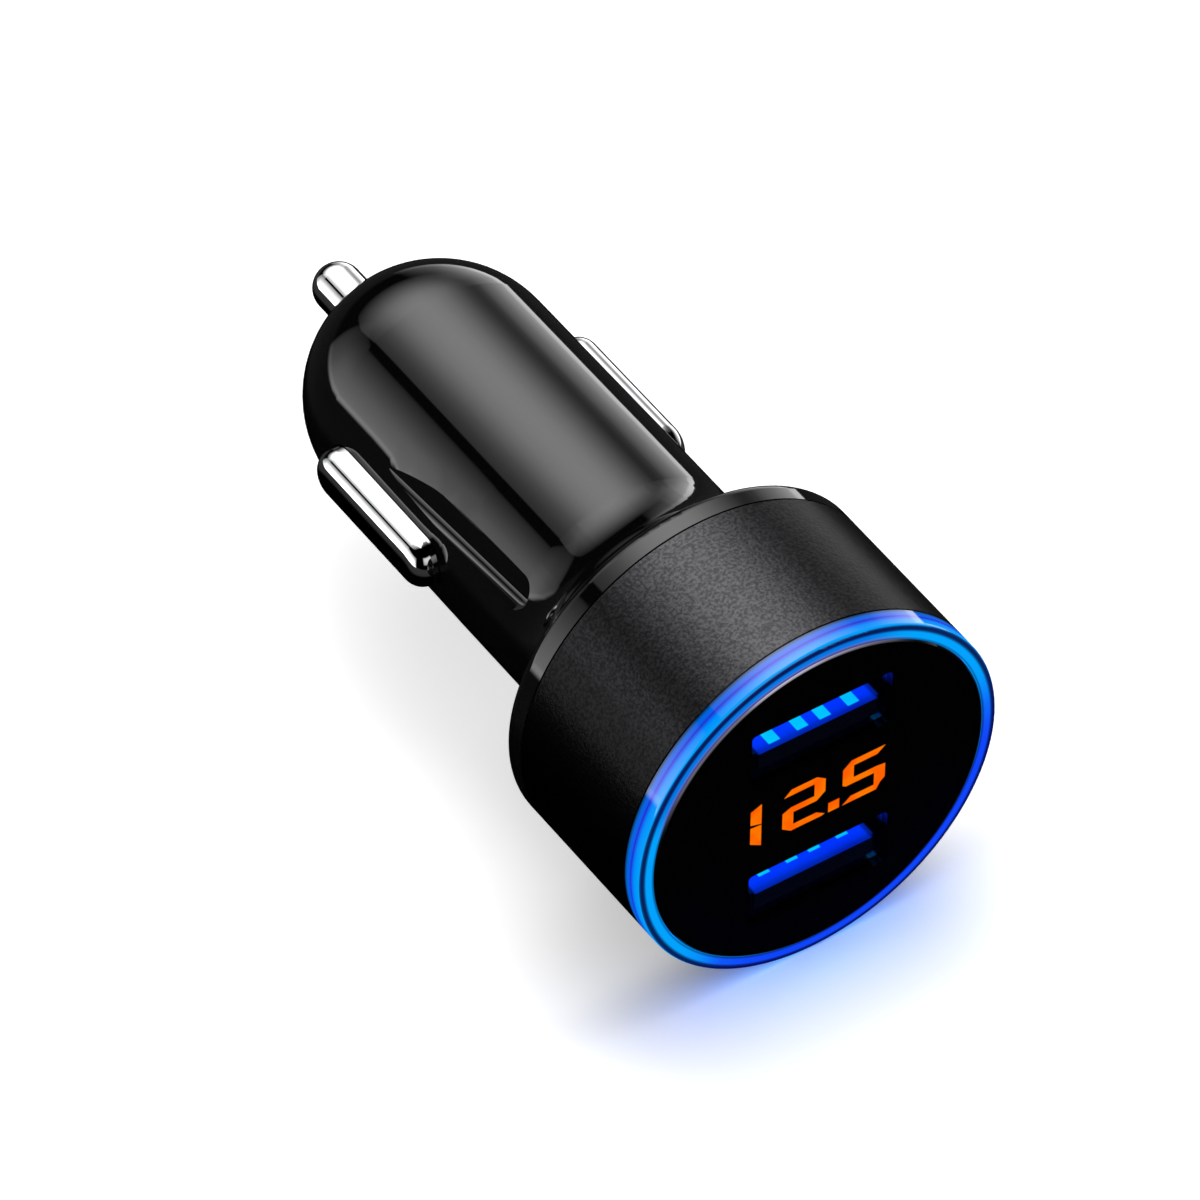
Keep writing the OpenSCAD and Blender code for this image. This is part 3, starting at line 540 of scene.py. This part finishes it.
# Finishes of the small parts, by the record's material slot. Two tones and two roughnesses
# each, and a grain whose size is the real one in mm; drawn stretches the grain along a side
smallFinishes = {
    # glass-filled nylon block of the display, moulded matt
    "display_grey": {
        "colour": "303236", "second": "3c3e42", "toneMm": 1.2, "roughness": (0.42, 0.58),
        "grainMm": 0.2, "reliefMm": 0.012},
    # tinned copper pins: bright, slightly uneven from the dip
    "solder_tin": {
        "colour": "aeb2b6", "second": "c8ccd0", "toneMm": 0.6, "roughness": (0.16, 0.34),
        "metallic": 1.0, "grainMm": 0.5, "reliefMm": 0.01},
    # lamps under clear silicone: a pale block that shines blue-white
    "lamp_white": {
        "colour": "c8d8f0", "second": "e4eefc", "toneMm": 0.4, "roughness": (0.2, 0.35),
        "grainMm": 0.2, "reliefMm": 0.004, "glow": "4c99ff", "glowStrength": 3.0},
    # nickel-plated steel sheet, rolled along the socket
    "shell_steel": {
        "colour": "b4b8bc", "second": "cdd0d3", "toneMm": 0.5, "roughness": (0.13, 0.24),
        "metallic": 1.0, "grainMm": 0.15, "reliefMm": 0.002, "drawn": (1, 0.08, 1)},
    # gilt strips, with painted light: a cyan glow for the blue light of the tongue around them
    "contact_gold": {
        "colour": "d0b868", "second": "e0c880", "toneMm": 0.5, "roughness": (0.15, 0.25),
        "metallic": 1.0, "grainMm": 0.2, "reliefMm": 0.001, "glow": "00bcff",
        "glowStrength": 1.0},
    # sintered ferrite: dull charcoal with a fine tooth
    "ferrite": {
        "colour": "2c2c30", "second": "3e3e42", "toneMm": 0.8, "roughness": (0.55, 0.7),
        "grainMm": 0.15, "reliefMm": 0.02},
    # enamelled copper wire: warm and glossy, ribbed turn by turn round the core
    "copper_wire": {
        "colour": "a85c28", "second": "c8793e", "toneMm": 0.5, "roughness": (0.2, 0.34),
        "metallic": 1.0, "grainMm": 0.4, "reliefMm": 0.03, "drawn": (0.15, 0.15, 1)},
    # epoxy of chips: matt black with a fine sand grain
    "chip_black": {
        "colour": "141416", "second": "1e1e21", "toneMm": 0.5, "roughness": (0.45, 0.62),
        "grainMm": 0.08, "reliefMm": 0.006},
    # fired ceramic of the fuse, ivory and dry
    "fuse_ceramic": {
        "colour": "ded8c8", "second": "ece8dc", "toneMm": 0.7, "roughness": (0.38, 0.52),
        "grainMm": 0.2, "reliefMm": 0.005},
    # resistors and chip capacitors: brown glazed bodies
    "resistor_body": {
        "colour": "6e5e48", "second": "94846a", "toneMm": 0.5, "roughness": (0.3, 0.5),
        "grainMm": 0.2, "reliefMm": 0.006},
    # steel under bright nickel: a clear mirror, wavering a little
    "contact_chrome": {
        "colour": "e4e5e6", "second": "eeeff0", "toneMm": 2.0, "roughness": (0.03, 0.055),
        "metallic": 1.0, "grainMm": 2.5, "reliefMm": 0.0008},
    # drawn spring wire, faintly lined along its length
    "spring_steel": {
        "colour": "a2a4a8", "second": "bcbec2", "toneMm": 0.4, "roughness": (0.16, 0.28),
        "metallic": 1.0, "grainMm": 0.12, "reliefMm": 0.003},
    # rolled brass strip, brushed along the plug
    "strip_brass": {
        "colour": "b8903e", "second": "d0a850", "toneMm": 0.5, "roughness": (0.22, 0.36),
        "metallic": 1.0, "grainMm": 0.1, "reliefMm": 0.003, "drawn": (1, 0.06, 1)},
}

finishes = {
    "black_plastic": makeMouldedBlack(),
    "black_anodised": makeBlastedBlack(),
    "clear_ring": makeLitRing(),
    "face_black": makeWindowBlack(),
    "segment_orange": makeLitNumerals(),
    "tongue_blue": makeLitTongue(),
    "board_green": makeSolderMask(),
}
for slotName, look in smallFinishes.items():
    title = slotName.title().replace("_", "")
    finishes[slotName] = makeFinish(title[0].lower() + title[1:], look)
slotOfNode = {piece["node"]: piece["material_slot"] for piece in frame["record"]["subparts"]}
for name, node in nodes.items():
    node.data.materials.clear()
    if slotOfNode[name] == "can_sleeve":
        node.data.materials.append(makeCapacitor(name))
    else:
        node.data.materials.append(finishes[slotOfNode[name]])
print("materials made")

# Springs wound from wire with closed ends, as fine meshes in place of the plain ones of the
# frame
springs = {
    "mergeMm": 0.0001,
    "sidesOfWire": 14,
    "stepsInTurn": 40,
    "deadTurns": 0.75,
    "closedPitch": 1.04,
    "pinSpring": {
        "node": "tip_spring", "joint": "tip_slide", "travel": 3.0,
        "wire": 0.5, "across": 3.8, "turns": 6.5, "length": 7.58,
        "copies": 1, "apart": 0.0,
    },
    "leftSprings": {
        "node": "side_springs_left", "joint": "left_contact_slide", "travel": 1.9,
        "wire": 0.28, "across": 3.0, "turns": 4.0, "length": 3.6048,
        "copies": 2, "apart": 7.0,
    },
    "rightSprings": {
        "node": "side_springs_right", "joint": "right_contact_slide", "travel": 1.9,
        "wire": 0.28, "across": 3.0, "turns": 4.0, "length": 3.6048,
        "copies": 2, "apart": 7.0,
    },
}


def makeCoilTree():
    tree = bpy.data.node_groups.new("coilSpring", "GeometryNodeTree")
    sizes = {}
    for label in ("Wire", "Across", "Turns", "Length", "Apart"):
        sizes[label] = tree.interface.new_socket(
            label, in_out="INPUT", socket_type="NodeSocketFloat").identifier
    sizes["Copies"] = tree.interface.new_socket(
        "Copies", in_out="INPUT", socket_type="NodeSocketInt").identifier
    sizes["Finish"] = tree.interface.new_socket(
        "Finish", in_out="INPUT", socket_type="NodeSocketMaterial").identifier
    tree.interface.new_socket("Mesh", in_out="OUTPUT", socket_type="NodeSocketGeometry")
    given = addNode(tree, "NodeGroupInput").outputs
    steps = springs["stepsInTurn"]
    dead = springs["deadTurns"]
    # a point for each step of each turn, and how many turns it lies from the start
    count = addNode(
        tree, "ShaderNodeMath", [given["Turns"], steps, 1.0], operation="MULTIPLY_ADD")
    line = addNode(tree, "GeometryNodeMeshLine", {"Count": count})
    index = addNode(tree, "GeometryNodeInputIndex")
    turn = addNode(tree, "ShaderNodeMath", [index, steps], operation="DIVIDE")
    # pitch of the closed turns at both ends and of the open turns between them
    closed = addNode(
        tree, "ShaderNodeMath", [given["Wire"], springs["closedPitch"]], operation="MULTIPLY")
    innerLength = addNode(
        tree, "ShaderNodeMath", [given["Length"], given["Wire"]], operation="SUBTRACT")
    endRise = addNode(tree, "ShaderNodeMath", [closed, 2 * dead], operation="MULTIPLY")
    openRise = addNode(tree, "ShaderNodeMath", [innerLength, endRise], operation="SUBTRACT")
    openTurns = addNode(
        tree, "ShaderNodeMath", [given["Turns"], 2 * dead], operation="SUBTRACT")
    openPitch = addNode(tree, "ShaderNodeMath", [openRise, openTurns], operation="DIVIDE")
    # turns that a point has behind it in the first end, in the last end and between
    inFirst = addNode(tree, "ShaderNodeMath", [turn, dead], operation="MINIMUM")
    lastStart = addNode(tree, "ShaderNodeMath", [given["Turns"], dead], operation="SUBTRACT")
    pastStart = addNode(tree, "ShaderNodeMath", [turn, lastStart], operation="SUBTRACT")
    inLast = addNode(tree, "ShaderNodeMath", [pastStart, 0.0], operation="MAXIMUM")
    between = addNode(tree, "ShaderNodeMath", [turn, inFirst], operation="SUBTRACT")
    between = addNode(tree, "ShaderNodeMath", [between, inLast], operation="SUBTRACT")
    inEnds = addNode(tree, "ShaderNodeMath", [inFirst, inLast], operation="ADD")
    halfWire = addNode(tree, "ShaderNodeMath", [given["Wire"], 0.5], operation="MULTIPLY")
    rise = addNode(
        tree, "ShaderNodeMath", [inEnds, closed, halfWire], operation="MULTIPLY_ADD")
    rise = addNode(
        tree, "ShaderNodeMath", [between, openPitch, rise], operation="MULTIPLY_ADD")
    angle = addNode(tree, "ShaderNodeMath", [turn, 2 * math.pi], operation="MULTIPLY")
    radius = addNode(tree, "ShaderNodeMath", [given["Across"], 0.5], operation="MULTIPLY")
    cosine = addNode(tree, "ShaderNodeMath", [angle], operation="COSINE")
    sine = addNode(tree, "ShaderNodeMath", [angle], operation="SINE")
    x = addNode(tree, "ShaderNodeMath", [radius, cosine], operation="MULTIPLY")
    y = addNode(tree, "ShaderNodeMath", [radius, sine], operation="MULTIPLY")
    spot = addNode(tree, "ShaderNodeCombineXYZ", [x, y, rise])
    wound = addNode(tree, "GeometryNodeSetPosition", {"Geometry": line, "Position": spot})
    path = addNode(tree, "GeometryNodeMeshToCurve", [wound])
    section = addNode(tree, "GeometryNodeCurvePrimitiveCircle", {
        "Resolution": springs["sidesOfWire"], "Radius": halfWire})
    tube = addNode(tree, "GeometryNodeCurveToMesh", {
        "Curve": path, "Profile Curve": section, "Fill Caps": True})
    # copies in a row, centred on the first one's place
    step = addNode(tree, "ShaderNodeCombineXYZ", [given["Apart"]])
    gaps = addNode(tree, "ShaderNodeMath", [given["Copies"], 1.0], operation="SUBTRACT")
    back = addNode(tree, "ShaderNodeMath", [gaps, -0.5], operation="MULTIPLY")
    start = addNode(tree, "ShaderNodeMath", [given["Apart"], back], operation="MULTIPLY")
    first = addNode(tree, "ShaderNodeCombineXYZ", [start])
    row = addNode(tree, "GeometryNodeMeshLine", {
        "Count": given["Copies"], "Start Location": first, "Offset": step})
    placed = addNode(tree, "GeometryNodeInstanceOnPoints", {"Points": row, "Instance": tube})
    real = addNode(tree, "GeometryNodeRealizeInstances", [placed])
    dressed = addNode(tree, "GeometryNodeSetMaterial", {
        "Geometry": real, "Material": given["Finish"]})
    addNode(tree, "NodeGroupOutput", [dressed])
    return tree, sizes


def makeSpring(name, tree, sizes):
    values = springs[name]
    holder = bpy.data.objects.new(name + "Draft", bpy.data.meshes.new(name + "Draft"))
    bpy.context.scene.collection.objects.link(holder)
    nodesOn = holder.modifiers.new("coil", "NODES")
    nodesOn.node_group = tree
    for label in ("Wire", "Across", "Length", "Apart"):
        nodesOn[sizes[label]] = values[label.lower()] * mm
    nodesOn[sizes["Turns"]] = values["turns"]
    nodesOn[sizes["Copies"]] = values["copies"]
    nodesOn[sizes["Finish"]] = finishes["spring_steel"]
    bpy.context.view_layer.update()
    ready = holder.evaluated_get(bpy.context.evaluated_depsgraph_get())
    mesh = bpy.data.meshes.new_from_object(ready)
    bpy.data.objects.remove(holder)
    low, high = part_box(values["node"])
    middle = [(a + b) / 2 for a, b in zip(low, high)]
    if name == "pinSpring":
        axis, foot = Vector((0, -1, 0)), Vector((middle[0], high[1], middle[2]))
        turned = Matrix(((1, 0, 0), (0, 0, -1), (0, 1, 0)))
    else:
        side = 1 if name == "rightSprings" else -1
        axis = Vector((side, 0, 0))
        foot = Vector((low[0] if side > 0 else high[0], middle[1], middle[2]))
        turned = Matrix(((0, 0, side), (1, 0, 0), (0, 1, 0)))
    place = turned.to_4x4()
    place.translation = foot
    mesh.transform(place)
    shell = bmesh.new()
    shell.from_mesh(mesh)
    bmesh.ops.remove_doubles(shell, verts=shell.verts, dist=springs["mergeMm"] * mm)
    bmesh.ops.recalc_face_normals(shell, faces=shell.faces)
    shell.to_mesh(mesh)
    shell.free()
    mesh.polygons.foreach_set("use_smooth", [True] * len(mesh.polygons))
    spring = bpy.data.objects.new(name, mesh)
    bpy.context.scene.collection.objects.link(spring)
    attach(spring, "charger")
    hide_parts(values["node"])
    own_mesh(spring)


coilTree, coilSizes = makeCoilTree()
for name in ("pinSpring", "leftSprings", "rightSprings"):
    makeSpring(name, coilTree, coilSizes)
print("springs wound")

# Studio: three softboxes behind the plug, as its gloss mirrors them, and a weak one before
# it. Directions are azimuth from +Y towards +X and height above the horizon, in degrees
studio = {
    "topByHeight": [(11, 0), (19, 0.5), (27, 1.31), (35, 2.44), (43, 3.39), (51, 3.93),
                    (60, 3.8), (75, 3.0), (89, 2.4)],
    "topBySide": [(-75, 0), (-40, 0.17), (-30, 0.3), (-20, 0.55), (-10, 0.79), (0, 0.95),
                  (15, 1.03), (25, 0.97), (35, 0.83), (40, 0.68), (45, 0.5), (48.5, 0.33),
                  (52, 0.14), (60, 0.06), (85, 0)],
    "topEdge": [(-90, 75), (-60, 52), (-45, 42.5), (-41, 39.8), (-30, 29.5), (-20, 20),
                (0, 10), (30, 10), (50, 17), (90, 40)],
    "leftByHeight": [(-7.4, 0), (-5.9, 0.75), (-4, 1.3), (-2, 1.0), (3, 0.87), (11, 0.72),
                     (19, 0.49), (27, 0.27), (31, 0.17), (32, 0.13), (33.2, 0)],
    "leftBySide": [(-110, 0), (-95, 2.2), (-75, 2.8), (-60, 2.7), (-50, 2.35), (-40, 1.68),
                   (-30, 0.89), (-20, 0.36), (-17, 0)],
    "rightByHeight": [(-9.2, 0), (-8.2, 1.15), (-5, 1.1), (-3, 0.78), (3, 0.62), (7, 0.5),
                      (11, 0.4), (15, 0.27), (19, 0.12), (24, 0.03), (30, 0)],
    "rightBySide": [(20, 0), (25, 0.34), (30, 0.63), (35, 1.24), (40, 1.93), (45, 2.5),
                    (50, 2.7), (55, 2.55), (65, 2.6), (75, 2.2), (95, 1.2), (110, 0)],
    "frontByHeight": [(14, 0), (22, 0.6), (38, 0.8), (48, 0)],
    "frontBySide": [(148, 0), (158, 0.8), (180, 1.0)],
    "edgeSoftness": 1.2,
    "floorByHeight": [(-90, 0), (-42, 0), (-30, 0.03), (-8, 0.035), (0, 0), (90, 0)],
    "background": 1.0,
}

# Soft light of the room on matt surfaces: even from all sides, stronger from one place
room = {
    "even": 0.12,
    "keySide": 60.0,
    "keyHeight": 68.0,
    "keyHalf": 26.0,
    "keyStrength": 2.6,
}


def makeStudio():
    world = bpy.data.worlds.new("studio")
    world.use_nodes = True
    tree = world.node_tree
    tree.nodes.clear()
    white = linearColour("ffffff")
    way = addNode(tree, "ShaderNodeTexCoord").outputs["Generated"]
    parts = addNode(tree, "ShaderNodeSeparateXYZ", [way]).outputs
    side = addNode(tree, "ShaderNodeMath", [parts[0], parts[1]], operation="ARCTAN2")
    side = addNode(tree, "ShaderNodeMath", [side], operation="DEGREES")
    height = addNode(tree, "ShaderNodeMath", [parts[2]], operation="ARCSINE")
    height = addNode(tree, "ShaderNodeMath", [height], operation="DEGREES")
    eitherSide = addNode(tree, "ShaderNodeMath", [side], operation="ABSOLUTE")
    boxes = {}
    for name in ("top", "left", "right", "front"):
        places = eitherSide if name == "front" else side
        byHeight = curveThrough(tree, height, studio[name + "ByHeight"])
        bySide = curveThrough(tree, places, studio[name + "BySide"])
        boxes[name] = addNode(
            tree, "ShaderNodeMath", [byHeight, bySide], operation="MULTIPLY")
    edge = curveThrough(tree, side, studio["topEdge"])
    overEdge = addNode(tree, "ShaderNodeMath", [height, edge], operation="SUBTRACT")
    insideTop = addNode(
        tree, "ShaderNodeMapRange", [overEdge, 0.0, studio["edgeSoftness"]],
        interpolation_type="SMOOTHSTEP")
    boxes["top"] = addNode(
        tree, "ShaderNodeMath", [boxes["top"], insideTop], operation="MULTIPLY")
    total = curveThrough(tree, height, studio["floorByHeight"])
    for box in boxes.values():
        total = addNode(tree, "ShaderNodeMath", [total, box], operation="ADD")
    mirrored = addNode(tree, "ShaderNodeBackground", [white, total])
    keySide = math.radians(room["keySide"])
    keyHeight = math.radians(room["keyHeight"])
    keyWay = (
        math.sin(keySide) * math.cos(keyHeight),
        math.cos(keySide) * math.cos(keyHeight),
        math.sin(keyHeight),
    )
    apart = addNode(
        tree, "ShaderNodeVectorMath", [way, keyWay], operation="DOT_PRODUCT").outputs["Value"]
    keyStarts = math.cos(math.radians(room["keyHalf"]))
    key = addNode(
        tree, "ShaderNodeMapRange", [apart, keyStarts, 1.0, 0.0, room["keyStrength"]],
        interpolation_type="SMOOTHSTEP")
    roomLight = addNode(tree, "ShaderNodeMath", [key, room["even"]], operation="ADD")
    soft = addNode(tree, "ShaderNodeBackground", [white, roomLight])
    seen = addNode(tree, "ShaderNodeBackground", [white, studio["background"]])
    rays = addNode(tree, "ShaderNodeLightPath").outputs
    matt = addNode(tree, "ShaderNodeMixShader", [rays["Is Diffuse Ray"], mirrored, soft])
    both = addNode(tree, "ShaderNodeMixShader", [rays["Is Camera Ray"], matt, seen])
    addNode(tree, "ShaderNodeOutputWorld", [both])
    bpy.context.scene.world = world


makeStudio()
bpy.context.scene.view_settings.view_transform = "Standard"
print("studio made")

# Table top under the plug, white and over-exposed. Its glow carries a painted shadow, darker
# the nearer the plug is and most before the face; the curves run along the plug from the face,
# in mm
table = {
    "half": 1.5,
    "colour": "ffffff",
    "glow": 0.76,
    "reachByPlace": [(-34, 11.5), (-26, 11.5), (-19, 14), (20, 14)],
    "darkestByPlace": [(-34, 0.04), (-26, 0.04), (-19, 0.48), (-4, 0.64), (10, 0.8), (40, 0.8)],
    "steepnessByPlace": [(-34, 2.0), (-26, 2.0), (-19, 1.3), (20, 1.3)],
}


def makeTable():
    mesh = bpy.data.meshes.new("tableTop")
    h = table["half"]
    z = plug["underside"] * mm
    mesh.from_pydata(
        [(-h, -h, z), (h, -h, z), (h, h, z), (-h, h, z)], [], [(0, 1, 2, 3)])
    top = bpy.data.objects.new("tableTop", mesh)
    bpy.context.scene.collection.objects.link(top)
    material, tree = newMaterial("tableWhite")
    white = linearColour(table["colour"])
    diffuse = addNode(tree, "ShaderNodeBsdfDiffuse", [white])
    _, (_, along, _) = objectPlaces(tree)
    reachMm = curveThrough(tree, along, table["reachByPlace"])
    reach = addNode(tree, "ShaderNodeMath", [reachMm, mm], operation="MULTIPLY")
    # painted shadow: the glow is darkened by how near the plug is
    near = addNode(tree, "ShaderNodeAmbientOcclusion", {"Distance": reach}).outputs["AO"]
    steepness = curveThrough(tree, along, table["steepnessByPlace"])
    openness = addNode(tree, "ShaderNodeMath", [near, steepness], operation="POWER")
    darkest = curveThrough(tree, along, table["darkestByPlace"])
    span = addNode(tree, "ShaderNodeMath", [1.0, darkest], operation="SUBTRACT")
    gained = addNode(tree, "ShaderNodeMath", [span, openness], operation="MULTIPLY")
    lit = addNode(tree, "ShaderNodeMath", [darkest, gained], operation="ADD")
    lit = addNode(tree, "ShaderNodeMath", [lit, table["glow"]], operation="MULTIPLY")
    glow = addNode(tree, "ShaderNodeEmission", [white, lit])
    both = addNode(tree, "ShaderNodeAddShader", [diffuse, glow])
    addNode(tree, "ShaderNodeOutputMaterial", [both])
    mesh.materials.append(material)
    top.visible_glossy = False


makeTable()
print("table laid")

# Light that the ring throws on the table: small blue lamps in front of its lower part,
# which nothing mirrors
thrown = {
    "count": 9,
    "firstTurn": -155.0,
    "lastTurn": -25.0,
    "radius": 12.6,
    "ahead": 1.4,
    "size": 2.2,
    "power": 0.0003,
    "colour": "007cff",
}


def makeThrownLight():
    for i in range(thrown["count"]):
        share = i / (thrown["count"] - 1)
        turn = math.radians(
            thrown["firstTurn"] + share * (thrown["lastTurn"] - thrown["firstTurn"]))
        data = bpy.data.lights.new("ringGlow", "POINT")
        data.energy = thrown["power"]
        data.shadow_soft_size = thrown["size"] * mm
        data.color = linearColour(thrown["colour"])[:3]
        lamp = bpy.data.objects.new("ringGlow", data)
        lamp.location = (
            thrown["radius"] * math.cos(turn) * mm,
            (plug["ringFrontY"] - thrown["ahead"]) * mm,
            thrown["radius"] * math.sin(turn) * mm,
        )
        lamp.visible_camera = False
        lamp.visible_glossy = False
        bpy.context.scene.collection.objects.link(lamp)


makeThrownLight()

# Camera: the photograph's, fitted to the plug's edges
camera = {
    "place": (-0.33515, -0.48725, 0.59980),
    "right": (0.8304, -0.5572, 0.0084),
    "up": (0.3922, 0.5951, 0.7015),
    "lens": 339.0,
    "sensor": 36.0,
    "clip": (0.01, 10.0),
}


def makeCamera():
    data = bpy.data.cameras.new("photoCamera")
    data.lens = camera["lens"]
    data.sensor_width = camera["sensor"]
    data.clip_start, data.clip_end = camera["clip"]
    eye = bpy.data.objects.new("photoCamera", data)
    bpy.context.scene.collection.objects.link(eye)
    right = Vector(camera["right"]).normalized()
    up = Vector(camera["up"])
    back = right.cross(up).normalized()
    up = back.cross(right)
    turned = Matrix((right, up, back)).transposed().to_4x4()
    turned.translation = camera["place"]
    eye.matrix_world = turned
    bpy.context.scene.camera = eye


makeCamera()
print("camera and lamps placed")
